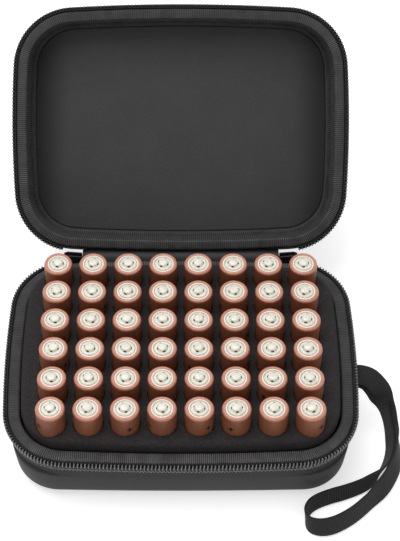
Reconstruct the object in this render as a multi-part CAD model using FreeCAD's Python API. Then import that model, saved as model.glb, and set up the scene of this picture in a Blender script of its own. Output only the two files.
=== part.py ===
# Zippered clamshell case of moulded EVA, standing open, with a die-cut foam insert full of AA cells.
# X runs to the right, Y to the back and Z up. The origin is the middle of the flat underside.

import FreeCAD
import Part
import math
import os

# Outline of the moulded wall at the rim: four gently bowed sides joined by round corners
half_width = 84.4
half_depth = 63.0
corner_radius = 29.0
end_bow_radius = 576.0
long_bow_radius = 1016.0

# Moulded trays, with the bend between wall and floor cut into a few flats
wall = 3.8
draft_angle = 2.0
base_edge_radius = 12.0
lid_edge_radius = 8.0
outer_bend_count = 3
inner_bend_count = 3
base_height = 36.0
lid_height = 26.5

# Foot of the base, below its zip tape: squarer at the corners, straighter, and drafted more
foot_corner_radius = 24.0
foot_bow_radius = 2500.0
foot_edge_radius = 10.0
foot_draft_angle = 5.0
foot_step = 0.3

# Ribbed binding folded over each rim
binding_thick = 0.6
binding_inner_leaf = 6.0
binding_outer_leaf = 5.0
closed_gap = 0.3
layer_gap = 0.1

# Zip: tape on the outside of each wall, coil on the outside of the tape
tape_thick = 0.6
tape_width = 14.0
tape_flare = 1.5
tape_top_inset = 0.6
tooth_pitch = 1.8
tooth_side_gap = 0.25
tooth_depth = 1.5
tooth_length = 4.4
tooth_overlap = 0.6

# Fabric hinge across the back
hinge_length = 104.0
hinge_offset = 3.5
hinge_thick = 0.7
hinge_hem = 14.0
lid_open_angle = 134.4

# Sliders and their pulls
slider_length = 9.5
slider_width = 6.0
slider_nose_width = 4.2
slider_plate = 0.6
slider_channel = 2.1
slider_face_offset = 0.5
slider_end_gap = 0.3
bail_radius = 0.4
bail_span = 4.4
bail_rise = 0.95
pull_fit = 0.06
pull_eye_radius = 0.9
pull_thick = 1.1
pull_width = 6.0
pull_length = 24.0
pull_end_chamfer = 1.6
pull_slot_width = 2.6
pull_slot_length = 9.0

# AA cells standing in rows. Flats stand in for their round cans, buttons and pockets.
cell_flat_count = 12
button_flat_count = 8
pocket_flat_count = 8
cell_diameter = 14.5
cell_body_length = 49.1
cell_side_margin = 14.15
cell_end_margin = 10.75
cell_columns = 8
cell_rows = 6
button_diameter = 5.5
button_height = 1.4

# Foam
foam_floor_thick = 2.9
foam_rise = 6.6
foam_rim_gap = 0.6
foam_side_inset = 2.3
pocket_gap = 0.3

# Padded panel glued inside the lid
panel_thick = 0.9
panel_inset = 0.6

# Wrist strap: the stitched stack of its two ends, and its middle line as a thin tube. The route between the
# two ends gives x from the stack's face, y from the stack's middle and z from the ground.
strap_diameter = 2.0
strap_side_count = 4
strap_width = 10.0
strap_ply_spacing = 3.0
strap_trim = 0.45
stack_height = 7.5
stack_thick = 2.5
stack_drop = 12.0
stack_y = -6.0
strap_route = [
    (5.8, 0.0, 29.2),
    (11.8, -4.2, 26.0),
    (16.8, -10.4, 20.2),
    (20.4, -19.0, 13.4),
    (21.8, -29.4, 8.4),
    (19.6, -40.4, 6.0),
    (13.8, -50.6, 5.2),
    (5.4, -60.0, 5.2),
    (-4.8, -69.4, 5.2),
    (-16.0, -75.2, 5.2),
    (-24.6, -74.4, 5.2),
    (-27.4, -68.4, 5.2),
    (-24.4, -62.0, 5.2),
    (-16.2, -57.8, 5.2),
    (-4.4, -54.2, 5.2),
    (6.2, -49.2, 5.2),
    (14.0, -41.0, 5.6),
    (18.2, -30.2, 6.6),
    (17.8, -19.6, 10.6),
    (14.6, -10.8, 17.2),
    (10.0, -4.0, 23.2),
    (5.0, 0.0, 26.2),
]

Vector = FreeCAD.Vector
up = Vector(0, 0, 1)
flat_origin = Vector(0, 0, 0)
slope = math.tan(math.radians(draft_angle))
rim_drop = closed_gap / 2 + binding_thick + layer_gap
hinge_y = half_depth + hinge_offset
hinge_point = Vector(0, hinge_y, base_height)
zip_start = hinge_length / 2 + slider_length + 2 * slider_end_gap

parts = {}


def outline_arcs(from_rear_x=0.0, round_radius=corner_radius, bow_radius=long_bow_radius):
    """Arcs of an outline as centre x, y, radius, start and sweep in degrees.

    They run anticlockwise from the middle of the back, or from a distance each side of it.
    """
    long_y = half_depth - bow_radius
    end_x = half_width - end_bow_radius
    to_long = bow_radius - round_radius
    to_end = end_bow_radius - round_radius
    span = math.hypot(end_x, long_y)
    along = (to_long**2 - to_end**2 + span**2) / (2 * span)
    across = math.sqrt(to_long**2 - along**2)
    corner_x = (along * end_x - across * long_y) / span
    corner_y = long_y - (along * long_y + across * end_x) / span
    long_half = math.degrees(math.atan2(corner_x, corner_y - long_y))
    end_half = math.degrees(math.atan2(corner_y, corner_x - end_x))
    corner = 90 - long_half - end_half
    long_x = bow_radius * math.sin(math.radians(long_half))
    if from_rear_x < long_x:
        skipped = math.degrees(math.asin(from_rear_x / bow_radius))
        first = [
            (0, long_y, bow_radius, 90 + skipped, long_half - skipped),
            (-corner_x, corner_y, round_radius, 90 + long_half, corner),
        ]
        last = [
            (corner_x, corner_y, round_radius, end_half, corner),
            (0, long_y, bow_radius, 90 - long_half, long_half - skipped),
        ]
    else:
        turned = math.degrees(math.acos((from_rear_x - corner_x) / round_radius))
        first = [(-corner_x, corner_y, round_radius, 180 - turned, turned - end_half)]
        last = [(corner_x, corner_y, round_radius, end_half, turned - end_half)]
    middle = [
        (-end_x, 0, end_bow_radius, 180 - end_half, 2 * end_half),
        (-corner_x, -corner_y, round_radius, 180 + end_half, corner),
        (0, -long_y, bow_radius, 270 - long_half, 2 * long_half),
        (corner_x, -corner_y, round_radius, 270 + long_half, corner),
        (end_x, 0, end_bow_radius, -end_half, 2 * end_half),
    ]
    return first + middle + last


rim = outline_arcs()
foot_rim = outline_arcs(0.0, foot_corner_radius, foot_bow_radius)


def polygon(corners):
    """Flat face inside straight edges."""
    return Part.Face(Part.makePolygon(corners + [corners[0]]))


def section(points):
    """Upright face from (outward, height) points."""
    return polygon([Vector(outward, 0, height) for outward, height in points])


def run_round(face, arcs):
    """Solid swept by a section along the arcs, turned about each arc's own centre."""
    pieces = []
    for centre_x, centre_y, radius, start, sweep in arcs:
        piece = face.translated(Vector(radius, 0, 0)).revolve(flat_origin, up, sweep)
        piece.rotate(flat_origin, up, start)
        piece.translate(Vector(centre_x, centre_y, 0))
        pieces.append(piece)
    joined = pieces[0].multiFuse(pieces[1:]).removeSplitter()
    return joined.Solids[0]


def outline_plate(offset, bottom, top, arcs):
    """Plate with an outline moved outward by an offset."""
    edges = []
    for centre_x, centre_y, radius, start, sweep in arcs:
        spots = []
        for share in (0, 0.5, 1):
            angle = math.radians(start + share * sweep)
            x = centre_x + (radius + offset) * math.cos(angle)
            y = centre_y + (radius + offset) * math.sin(angle)
            spots.append(Vector(x, y, bottom))
        edges.append(Part.Arc(*spots).toShape())
    face = Part.Face(Part.Wire(edges))
    return face.extrude(Vector(0, 0, top - bottom)).removeSplitter()


def bend_centre(height, radius):
    """Outward place of the middle of the bend between a tray's wall and floor."""
    return -(height - radius - rim_drop) * slope - radius / math.cos(math.radians(draft_angle))


def bend_points(centre_n, centre_z, radius, flats, draft=draft_angle):
    """Corners of the flats that make the bend, from the wall down to the floor."""
    points = []
    for step in range(flats + 1):
        angle = math.radians(draft + (90 - draft) * step / flats)
        points.append((centre_n + radius * math.cos(angle), centre_z - radius * math.sin(angle)))
    return points


def wall_face(height):
    """Outward place of the drafted wall's outer face at a height from the closing plane."""
    return (height + rim_drop) * slope


def inner_line(height, radius):
    """Inner face of a tray from its floor up to its rim, as (outward, height) points."""
    bend = bend_points(bend_centre(height, radius), radius - height, radius - wall, inner_bend_count)
    return bend[::-1] + [(-wall / math.cos(math.radians(draft_angle)), -rim_drop)]


def lid_tray():
    """Lid with its rim up below the closing plane at height 0, with drafted walls and a bent edge."""
    centre_n = bend_centre(lid_height, lid_edge_radius)
    corners = [(0, -rim_drop)]
    corners += bend_points(centre_n, lid_edge_radius - lid_height, lid_edge_radius, outer_bend_count)
    corners += inner_line(lid_height, lid_edge_radius)
    floor = outline_plate(centre_n, -lid_height, wall - lid_height, rim)
    return run_round(section(corners), rim).fuse(floor).removeSplitter().Solids[0]


def base_tray():
    """Base below the closing plane at height 0: a band behind the zip tape, and a squarer foot under it."""
    inner = inner_line(base_height, base_edge_radius)
    core_n = inner[0][0]
    room = run_round(section(inner + [(core_n, -rim_drop)]), rim)
    room = room.fuse(outline_plate(core_n, wall - base_height, -rim_drop, rim))
    step_z = -tape_width - layer_gap
    band_corners = [(0, -rim_drop), (wall_face(step_z), step_z), (core_n, step_z), (core_n, -rim_drop)]
    band = run_round(section(band_corners), rim)
    top_n = wall_face(step_z) + foot_step
    draft = math.radians(foot_draft_angle)
    centre_z = foot_edge_radius - base_height
    centre_n = top_n - (step_z - centre_z) * math.tan(draft) - foot_edge_radius / math.cos(draft)
    bend = bend_points(centre_n, centre_z, foot_edge_radius, outer_bend_count, foot_draft_angle)
    foot = run_round(section([(core_n, step_z), (top_n, step_z)] + bend + [(core_n, -base_height)]), foot_rim)
    foot = foot.fuse(outline_plate(core_n, -base_height, step_z, foot_rim))
    return band.fuse(foot).cut(room).removeSplitter().Solids[0]


def binding():
    """Grosgrain folded over the rim, below the closing plane at height 0."""
    inner = -wall / math.cos(math.radians(draft_angle)) - layer_gap
    top = -closed_gap / 2
    outer = layer_gap
    inner_foot = top - binding_inner_leaf
    outer_foot = top - binding_outer_leaf
    profile = section(
        [
            (outer + wall_face(outer_foot) + binding_thick, outer_foot),
            (outer + wall_face(outer_foot), outer_foot),
            (outer, top - binding_thick),
            (inner, top - binding_thick),
            (inner + wall_face(inner_foot), inner_foot),
            (inner + wall_face(inner_foot) - binding_thick, inner_foot),
            (inner - binding_thick, top),
            (outer + binding_thick, top),
        ]
    )
    return run_round(profile, rim)


def tape_inner(height):
    """How far outside the wall line the inner face of the zip tape lies, at a height from the closing plane."""
    foot_n = layer_gap + wall_face(-tape_width)
    return foot_n + (tape_flare - foot_n) * (height + tape_width) / tape_width


def zip_tape():
    """Woven zip tape, open where the hinge and the sliders are."""
    top = -tape_top_inset
    foot = -tape_width
    profile = section(
        [
            (tape_inner(top), top),
            (tape_inner(foot), foot),
            (tape_inner(foot) + tape_thick, foot),
            (tape_inner(top) + tape_thick, top),
        ]
    )
    return run_round(profile, outline_arcs(zip_start))


def zip_teeth(first_share):
    """Coil loops as ridged bars, one per pitch, the first one a share of a pitch from the end of the zip."""
    head = tooth_overlap
    foot = tooth_overlap - tooth_length
    seat = tape_thick + layer_gap
    thick = tooth_pitch / 2 - tooth_side_gap
    foot_n = tape_inner(foot) + seat
    corners = [
        Vector(foot_n, -thick / 2, foot),
        Vector(foot_n, thick / 2, foot),
        Vector(foot_n + tooth_depth, 0, foot),
    ]
    lean = Vector(tape_inner(head) - tape_inner(foot), 0, head - foot)
    tooth = polygon(corners).extrude(lean)
    teeth = []
    placed = tooth_pitch * first_share
    for centre_x, centre_y, radius, start, sweep in outline_arcs(zip_start):
        chain_radius = radius + tape_inner(0) + seat
        length = math.radians(sweep) * chain_radius
        while placed < length:
            copy = tooth.translated(Vector(radius, 0, 0))
            copy.rotate(flat_origin, up, start + math.degrees(placed / chain_radius))
            copy.translate(Vector(centre_x, centre_y, 0))
            teeth.append(copy)
            placed += tooth_pitch
        placed -= length
    return Part.makeCompound(teeth)


def on_base(shape):
    """Raises a shape made about the closing plane to the base's rim."""
    return shape.translated(Vector(0, 0, base_height))


def on_lid(shape):
    """Turns a shape made about the closing plane over, and swings it open with the lid."""
    turned = on_base(shape.mirror(flat_origin, up))
    turned.rotate(hinge_point, Vector(-1, 0, 0), lid_open_angle)
    return turned


def upright_prism(flats, radius, x, y, bottom, height):
    """Upright bar with a regular section."""
    corners = []
    for step in range(flats):
        angle = 2 * math.pi * (step + 0.5) / flats
        corners.append(Vector(x + radius * math.cos(angle), y + radius * math.sin(angle), bottom))
    return polygon(corners).extrude(Vector(0, 0, height))


# Base tray and what is sewn to its rim
parts["base_shell"] = on_base(base_tray())
parts["base_binding"] = on_base(binding())
parts["base_zip_tape"] = on_base(zip_tape())
parts["base_zip_teeth"] = on_base(zip_teeth(0.25))

# Lid tray and what is sewn to its rim, with the padded panel glued inside it
parts["lid_shell"] = on_lid(lid_tray())
parts["lid_binding"] = on_lid(binding())
parts["lid_zip_tape"] = on_lid(zip_tape())
parts["lid_zip_teeth"] = on_lid(zip_teeth(0.75))
panel_back = wall - lid_height + layer_gap
panel_n = bend_centre(lid_height, lid_edge_radius) - panel_inset
panel = outline_plate(panel_n, panel_back, panel_back + panel_thick, rim)
parts["lid_panel"] = on_lid(panel)


def hinge_strip():
    """One piece of fabric from the base's wall to the lid's, folded about the hinge line."""
    start = -hinge_length / 2
    fold = hinge_thick / 2
    hem = Vector(start, half_depth + tape_inner(-hinge_hem), base_height - hinge_hem)
    knee = Vector(start, half_depth + binding_thick + 2 * layer_gap, base_height - binding_outer_leaf)
    thickness = Vector(0, hinge_thick, 0)
    end = Vector(start, hinge_y, base_height)
    leaf = end - knee - thickness / 2
    across = Vector(0, -leaf.z, leaf.y).normalize() * fold
    corners = [hem, knee, end + across, end - across, knee + thickness, hem + thickness]
    base_leaf = polygon(corners).extrude(Vector(hinge_length, 0, 0))
    lid_leaf = base_leaf.mirror(Vector(0, 0, base_height), up)
    lid_leaf.rotate(hinge_point, Vector(-1, 0, 0), lid_open_angle)
    roll = Part.makeCylinder(fold, hinge_length, end, Vector(1, 0, 0))
    return base_leaf.multiFuse([lid_leaf, roll]).removeSplitter().Solids[0]


parts["hinge_strip"] = hinge_strip()

# Sliders at the two ends of the zip, with their pulls hanging from the bails
slider_middle = hinge_length / 2 + slider_end_gap + slider_length / 2
slider_face = hinge_y + slider_face_offset
wire_y = slider_face + bail_rise


def slider():
    """Slider body: two plates, the wedge between them and the bail that carries the pull."""
    near = slider_middle - slider_length / 2
    far = slider_middle + slider_length / 2
    half_nose = slider_nose_width / 2
    half_wide = slider_width / 2
    outline = [
        (near, -half_nose),
        (far - half_nose, -half_wide),
        (far, -half_nose),
        (far, half_nose),
        (far - half_nose, half_wide),
        (near, half_nose),
    ]
    channel_y = slider_face - slider_plate - slider_channel
    pieces = []
    for y in (slider_face - slider_plate, channel_y - slider_plate):
        corners = [Vector(x, y, base_height + z) for x, z in outline]
        pieces.append(polygon(corners).extrude(Vector(0, slider_plate, 0)))
    wedge_corner = Vector(far - 2 * half_nose, channel_y, base_height - half_nose / 2)
    pieces.append(Part.makeBox(half_nose, slider_channel, half_nose, wedge_corner))
    for end in (-1, 1):
        post_x = slider_middle + end * bail_span / 2 - bail_radius
        post_corner = Vector(post_x, slider_face, base_height - bail_radius)
        pieces.append(Part.makeBox(2 * bail_radius, bail_rise + bail_radius, 2 * bail_radius, post_corner))
    wire_start = Vector(slider_middle - bail_span / 2, wire_y, base_height)
    pieces.append(Part.makeCylinder(bail_radius, bail_span, wire_start, Vector(1, 0, 0)))
    return pieces[0].multiFuse(pieces[1:]).removeSplitter().Solids[0]


def pull_tab():
    """Pull: an eye round the bail's wire, a neck and a slotted tab."""
    half_eye = bail_span / 2 - 2 * bail_radius
    half_tab = pull_width / 2
    eye_start = Vector(slider_middle - half_eye, wire_y, base_height)
    eye = Part.makeCylinder(pull_eye_radius, 2 * half_eye, eye_start, Vector(1, 0, 0))
    bore = Part.makeCylinder(bail_radius + pull_fit, 2 * half_eye, eye_start, Vector(1, 0, 0))
    side = [
        (half_eye, 0),
        (half_eye, -2 * pull_eye_radius),
        (half_tab, -4 * pull_eye_radius),
        (half_tab, pull_end_chamfer - pull_length),
        (half_tab - pull_end_chamfer, -pull_length),
    ]
    outline = side + [(-x, z) for x, z in reversed(side)]
    back_y = wire_y - pull_thick / 2
    corners = [Vector(slider_middle + x, back_y, base_height + z) for x, z in outline]
    blade = polygon(corners).extrude(Vector(0, pull_thick, 0))
    slot_corner = Vector(slider_middle - pull_slot_width / 2, back_y, base_height + half_tab - pull_length)
    slot = Part.makeBox(pull_slot_width, pull_thick, pull_slot_length, slot_corner)
    return blade.fuse(eye).cut(bore).cut(slot).removeSplitter().Solids[0]


parts["slider_right"] = slider()
parts["pull_tab_right"] = pull_tab()
for name in ("slider", "pull_tab"):
    parts[name + "_left"] = parts[name + "_right"].mirror(flat_origin, Vector(1, 0, 0))

# Foam floor pad, and the cells standing on it in rows from the back to the front
cell_bottom = wall + foam_floor_thick + 2 * layer_gap
shoulder = cell_bottom + cell_body_length
floor_n = bend_centre(base_height, base_edge_radius)
parts["foam_floor"] = outline_plate(floor_n, wall + layer_gap, cell_bottom - layer_gap, rim)
column_pitch = (2 * (half_width - cell_side_margin) - cell_diameter) / (cell_columns - 1)
row_pitch = (2 * (half_depth - cell_end_margin) - cell_diameter) / (cell_rows - 1)
column_x = [(column - (cell_columns - 1) / 2) * column_pitch for column in range(cell_columns)]
row_y = [((cell_rows - 1) / 2 - row) * row_pitch for row in range(cell_rows)]
for row, y in enumerate(row_y):
    cans = []
    buttons = []
    for x in column_x:
        cans.append(upright_prism(cell_flat_count, cell_diameter / 2, x, y, cell_bottom, cell_body_length))
        buttons.append(upright_prism(button_flat_count, button_diameter / 2, x, y, shoulder, button_height))
    parts["cells_row_" + str(row + 1)] = Part.makeCompound(cans)
    parts["terminals_row_" + str(row + 1)] = Part.makeCompound(buttons)


def foam_insert():
    """Foam block with its side drafted like the tray's, and one pocket for each cell."""
    top_n = -wall / math.cos(math.radians(draft_angle)) - layer_gap - binding_thick - foam_rim_gap
    top = base_height + foam_rise
    core_n = top_n - 2 * foam_side_inset
    profile = section(
        [
            (core_n, cell_bottom),
            (top_n - foam_side_inset, cell_bottom),
            (top_n, top),
            (core_n, top),
        ]
    )
    block = run_round(profile, rim).fuse(outline_plate(core_n, cell_bottom, top, rim))
    pocket_radius = (cell_diameter / 2 + pocket_gap) / math.cos(math.pi / pocket_flat_count)
    pockets = []
    for y in row_y:
        for x in column_x:
            pockets.append(upright_prism(pocket_flat_count, pocket_radius, x, y, cell_bottom, top - cell_bottom))
    return block.removeSplitter().cut(Part.makeCompound(pockets)).removeSplitter().Solids[0]


parts["foam_insert"] = foam_insert()


# Wrist strap, coming out of a stitched stack of its two ends on the right of the case
stack_foot = base_height - stack_drop
stack_top = stack_foot + stack_height
stack_face = half_width + tape_inner(stack_top - base_height) + tape_thick + layer_gap + stack_thick


def strap_stack():
    """The two ends of the wrist strap folded into a stitched stack on the zip tape."""
    start = stack_y - strap_width / 2
    seat = half_width + tape_thick + layer_gap
    corners = [
        Vector(seat + tape_inner(stack_foot - base_height), start, stack_foot),
        Vector(stack_face, start, stack_foot),
        Vector(stack_face, start, stack_top),
        Vector(seat + tape_inner(stack_top - base_height), start, stack_top),
    ]
    return polygon(corners).extrude(Vector(0, strap_width, 0))


def strap_loop():
    """Strap as a thin tube of straight runs and tangent arcs."""
    middle_z = (stack_foot + stack_top) / 2
    points = [Vector(stack_face, stack_y, middle_z + strap_ply_spacing / 2)]
    points += [Vector(stack_face + x, stack_y + y, z) for x, y, z in strap_route]
    points.append(Vector(stack_face, stack_y, middle_z - strap_ply_spacing / 2))
    here = points[0]
    corners = []
    for step in range(strap_side_count):
        angle = 2 * math.pi * (step + 0.5) / strap_side_count
        corners.append(here + Vector(0, math.cos(angle), math.sin(angle)) * (strap_diameter / 2))
    face = polygon(corners)
    pieces = []
    length = 0
    for before, corner, after in zip(points, points[1:], points[2:]):
        ahead = corner - before
        onward = after - corner
        trim = strap_trim * min(ahead.Length, onward.Length)
        turn = ahead.getAngle(onward)
        radius = trim / math.tan(turn / 2)
        ahead.normalize()
        onward.normalize()
        run = corner - ahead * trim - here
        pieces.append(face.extrude(run))
        face.translate(run)
        axis = ahead.cross(onward).normalize()
        centre = here + run + axis.cross(ahead) * radius
        pieces.append(face.revolve(centre, axis, math.degrees(turn)))
        face.rotate(centre, axis, math.degrees(turn))
        length += run.Length + radius * turn
        here = corner + onward * trim
        print("strap bend radius", round(radius, 1), "turn", round(math.degrees(turn)))
    run = points[-1] - here
    pieces.append(face.extrude(run))
    length += run.Length
    tube = pieces[0].multiFuse(pieces[1:]).removeSplitter().Solids[0]
    print("strap length", round(length, 1), "volume", round(tube.Volume, 1))
    print("section times length", round(face.Area * length, 1))
    return tube


parts["strap_stack"] = strap_stack()
parts["wrist_strap"] = strap_loop()

os.makedirs("parts", exist_ok=True)
for name, shape in parts.items():
    shape.exportStep("parts/" + name + ".step")
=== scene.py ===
# Zippered clamshell case, standing open, with a foam insert full of AA cells.
import bpy
import math
import random
from mathutils import Matrix, Vector


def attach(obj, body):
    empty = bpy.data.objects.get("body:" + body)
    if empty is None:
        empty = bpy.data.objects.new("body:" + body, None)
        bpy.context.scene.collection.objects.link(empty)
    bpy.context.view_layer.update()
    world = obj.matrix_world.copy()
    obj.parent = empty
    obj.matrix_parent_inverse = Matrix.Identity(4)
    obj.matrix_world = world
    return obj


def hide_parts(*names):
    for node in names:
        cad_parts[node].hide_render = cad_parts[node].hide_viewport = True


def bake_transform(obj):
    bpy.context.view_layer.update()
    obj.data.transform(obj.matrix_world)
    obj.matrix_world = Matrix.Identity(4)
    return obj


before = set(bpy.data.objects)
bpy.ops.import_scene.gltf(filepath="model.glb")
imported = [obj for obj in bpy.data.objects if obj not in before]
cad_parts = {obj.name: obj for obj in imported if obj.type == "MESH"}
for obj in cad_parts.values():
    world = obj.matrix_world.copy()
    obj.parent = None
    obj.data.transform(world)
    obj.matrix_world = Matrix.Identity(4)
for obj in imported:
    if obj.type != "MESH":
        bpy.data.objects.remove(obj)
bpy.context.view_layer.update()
scene = bpy.context.scene
scene.view_settings.view_transform = "Standard"

# ------------------------ Camera
# Looks down at the open case from the front, from about 0.9 m. The frame is 400 wide and 541 high, and the
# case stands a little left of its middle.
FRAME_HEIGHT = 541
CASE_LEFT_BY = 19.3
bpy.ops.object.camera_add(location=(0, -0.510, 0.733), rotation=(math.radians(39.1), 0, 0))
camera = bpy.context.object
camera.data.lens = 113.3
camera.data.shift_x = CASE_LEFT_BY / FRAME_HEIGHT
scene.camera = camera

# ------------------------ Floor and light
# A plain white table under one soft lamp, with a white room all round. Seen straight, in gloss or through
# something clear, table and room are white, and the light that they cast on the case is lower.
PAPER = (0.8, 0.8, 0.8, 1)
PAPER_GLOW = 0.55
ROOM_LIGHT = 0.62


def add_node(tree, kind, sockets, **settings):
    """Adds a shader node with its settings. A socket takes a plain value, or joins the output it is given."""
    node = tree.nodes.new("ShaderNode" + kind)
    for setting, value in settings.items():
        setattr(node, setting, value)
    for socket, value in sockets.items():
        if isinstance(value, bpy.types.NodeSocket):
            tree.links.new(value, node.inputs[socket])
        else:
            node.inputs[socket].default_value = value
    return node


def reckon(tree, operation, *values):
    """Result of one sum, worked out from numbers and outputs."""
    return add_node(tree, "Math", dict(enumerate(values)), operation=operation).outputs[0]


def looked_at(tree):
    """1 for what the camera, a glossy surface or something clear sees, 0 for light on its way to a piece."""
    rays = add_node(tree, "LightPath", {}).outputs
    seen = reckon(tree, "MAXIMUM", rays["Is Camera Ray"], rays["Is Glossy Ray"])
    return reckon(tree, "MAXIMUM", seen, rays["Is Transmission Ray"])


bpy.ops.mesh.primitive_plane_add(size=6, location=(0, 0, -0.0003))
floor = bpy.context.object
floor.name = "floor"
paper = bpy.data.materials.new("white_table")
paper.use_nodes = True
paper.node_tree.nodes.clear()
matt = add_node(paper.node_tree, "BsdfDiffuse", {"Color": PAPER})
strength = reckon(paper.node_tree, "MULTIPLY", looked_at(paper.node_tree), PAPER_GLOW)
glow = add_node(paper.node_tree, "Emission", {"Strength": strength})
both = add_node(paper.node_tree, "AddShader", {0: matt.outputs[0], 1: glow.outputs[0]})
add_node(paper.node_tree, "OutputMaterial", {"Surface": both.outputs[0]})
floor.data.materials.append(paper)

room = bpy.data.worlds.new("white_room")
scene.world = room
room.use_nodes = True
seen = looked_at(room.node_tree)
level = add_node(room.node_tree, "MapRange", {"Value": seen, "To Min": ROOM_LIGHT, "To Max": 1.0})
sky = room.node_tree.nodes["Background"]
sky.inputs["Color"].default_value = (1, 1, 1, 1)
room.node_tree.links.new(level.outputs[0], sky.inputs["Strength"])

bpy.ops.object.light_add(type="AREA", location=(-0.25, 0.15, 1.3))
overhead = bpy.context.object
overhead.data.shape = "RECTANGLE"
overhead.data.size = 1.2
overhead.data.size_y = 0.8
overhead.data.energy = 11
aim = Vector((0, 0.02, 0.05)) - overhead.location
overhead.rotation_euler = aim.to_track_quat("-Z", "Y").to_euler()

# ------------------------ Wrist strap
# Black polypropylene webbing, 10 mm wide. Both its ends are folded together, stitched to the zip tape on the
# right side, and the loop lies on the table on its edge.
STRAP_WIDTH = 0.010
STRAP_THICK = 0.0012
STRAP_BLACK = (0.022, 0.022, 0.023)
# Wave patterns of these scales give a cross rib each 1.1 mm and a yarn each 0.76 mm
RIB_SCALE = 0.9 / math.pi
YARN_SCALE = 1.3 / math.pi
STRAP_EXIT = (0.0885, -0.006, 0.02925)
STRAP_ROUTE = [
    STRAP_EXIT,
    (0.0943, -0.0060, 0.0292),
    (0.1003, -0.0102, 0.0260),
    (0.1053, -0.0164, 0.0202),
    (0.1089, -0.0250, 0.0134),
    (0.1103, -0.0354, 0.0084),
    (0.1081, -0.0464, 0.0060),
    (0.1023, -0.0566, 0.0052),
    (0.0939, -0.0660, 0.0052),
    (0.0837, -0.0754, 0.0052),
    (0.0725, -0.0812, 0.0052),
    (0.0639, -0.0804, 0.0052),
    (0.0611, -0.0744, 0.0052),
    (0.0641, -0.0680, 0.0052),
    (0.0723, -0.0638, 0.0052),
    (0.0841, -0.0602, 0.0052),
    (0.0947, -0.0552, 0.0052),
    (0.1025, -0.0470, 0.0056),
    (0.1067, -0.0362, 0.0066),
    (0.1063, -0.0256, 0.0106),
    (0.1031, -0.0168, 0.0172),
    (0.0985, -0.0100, 0.0232),
    (0.0935, -0.0060, 0.0262),
    (0.0885, -0.0060, 0.02625),
]
# Which way the webbing's width points, at shares of its length
STRAP_TURNS = [
    (0.00, (0.0, 0.90, 0.43)),
    (0.05, (0.0, 0.78, 0.63)),
    (0.11, (0.0, 0.25, 0.97)),
    (0.16, (0.0, 0.0, 1.0)),
    (0.21, (-0.25, 0.0, 0.97)),
    (0.26, (-0.55, 0.10, 0.83)),
    (0.31, (-0.40, 0.48, 0.80)),
    (0.36, (0.0, 0.53, 0.85)),
    (0.46, (0.0, 0.50, 0.86)),
    (0.54, (-0.1, 0.25, 0.96)),
    (0.62, (0.0, 0.28, 0.96)),
    (0.70, (0.0, 0.25, 0.96)),
    (0.76, (0.45, 0.10, 0.90)),
    (0.82, (0.35, 0.0, 0.94)),
    (0.89, (0.0, 0.25, 0.97)),
    (0.95, (0.0, 0.78, 0.63)),
    (1.00, (0.0, 0.90, 0.43)),
]


def nurbs_line(name, points):
    """Points along a smooth open curve pulled by the given points, and the curve's length."""
    bpy.ops.object.select_all(action="DESELECT")
    bpy.ops.curve.primitive_nurbs_path_add()
    guide = bpy.context.object
    guide.name = name
    guide.data.splines.clear()
    spline = guide.data.splines.new("NURBS")
    spline.points.add(len(points) - 1)
    for point, spot in zip(spline.points, points):
        point.co = (*spot, 1)
    spline.order_u = 3
    spline.use_endpoint_u = True
    spline.resolution_u = 16
    guide.location = (0, 0, 0)
    bpy.context.view_layer.update()
    mesh = bpy.data.meshes.new_from_object(guide)
    line = [vertex.co.copy() for vertex in mesh.vertices]
    bpy.data.objects.remove(guide)
    bpy.data.meshes.remove(mesh)
    length = sum((b - a).length for a, b in zip(line, line[1:]))
    return line, length


def thicken(piece, thick):
    """Gives a thin sheet its thickness, half on each side."""
    wall = piece.modifiers.new("thickness", "SOLIDIFY")
    wall.thickness = thick
    wall.offset = 0
    bpy.ops.object.modifier_apply(modifier="thickness")


def soften(piece, width, segments, turn, profile=0.5):
    """Rounds the edges where two faces turn by more than so many degrees."""
    edge = piece.modifiers.new("soft edge", "BEVEL")
    edge.width = width
    edge.segments = segments
    edge.profile = profile
    edge.limit_method = "ANGLE"
    edge.angle_limit = math.radians(turn)
    bpy.ops.object.modifier_apply(modifier="soft edge")


def woven_band(name, line, turns, width, thick):
    """Flat band along a line, its width pointing as the turns say, grown from a grid."""
    steps = [0.0]
    for a, b in zip(line, line[1:]):
        steps.append(steps[-1] + (b - a).length)
    bpy.ops.object.select_all(action="DESELECT")
    bpy.ops.mesh.primitive_grid_add(x_subdivisions=len(line) - 1, y_subdivisions=4, size=1)
    band = bpy.context.object
    band.name = name
    columns = sorted({round(vertex.co.x, 6) for vertex in band.data.vertices})
    index_at = {x: index for index, x in enumerate(columns)}
    for vertex in band.data.vertices:
        index = index_at[round(vertex.co.x, 6)]
        share = steps[index] / steps[-1]
        ahead = (line[min(index + 1, len(line) - 1)] - line[max(index - 1, 0)]).normalized()
        for (low, before), (high, after) in zip(turns, turns[1:]):
            if low <= share <= high:
                mix = (share - low) / (high - low)
                mix = mix * mix * (3 - 2 * mix)
                sideways = Vector(before).lerp(Vector(after), mix)
        sideways = (sideways - ahead * sideways.dot(ahead)).normalized()
        vertex.co = line[index] + sideways * vertex.co.y * width
    thicken(band, thick)
    soften(band, thick * 0.3, 2, 60)
    bpy.ops.object.shade_smooth_by_angle(angle=math.radians(40))
    return band


def new_finish(name, roughness, shine, sheen=0.0, metallic=0.0):
    """New material with the values that are the same all over it, then its nodes and its shader."""
    finish = bpy.data.materials.new(name)
    finish.use_nodes = True
    shader = finish.node_tree.nodes["Principled BSDF"]
    shader.inputs["Roughness"].default_value = roughness
    shader.inputs["Specular IOR Level"].default_value = shine
    shader.inputs["Sheen Weight"].default_value = sheen
    shader.inputs["Metallic"].default_value = metallic
    return finish, finish.node_tree, shader


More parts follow.
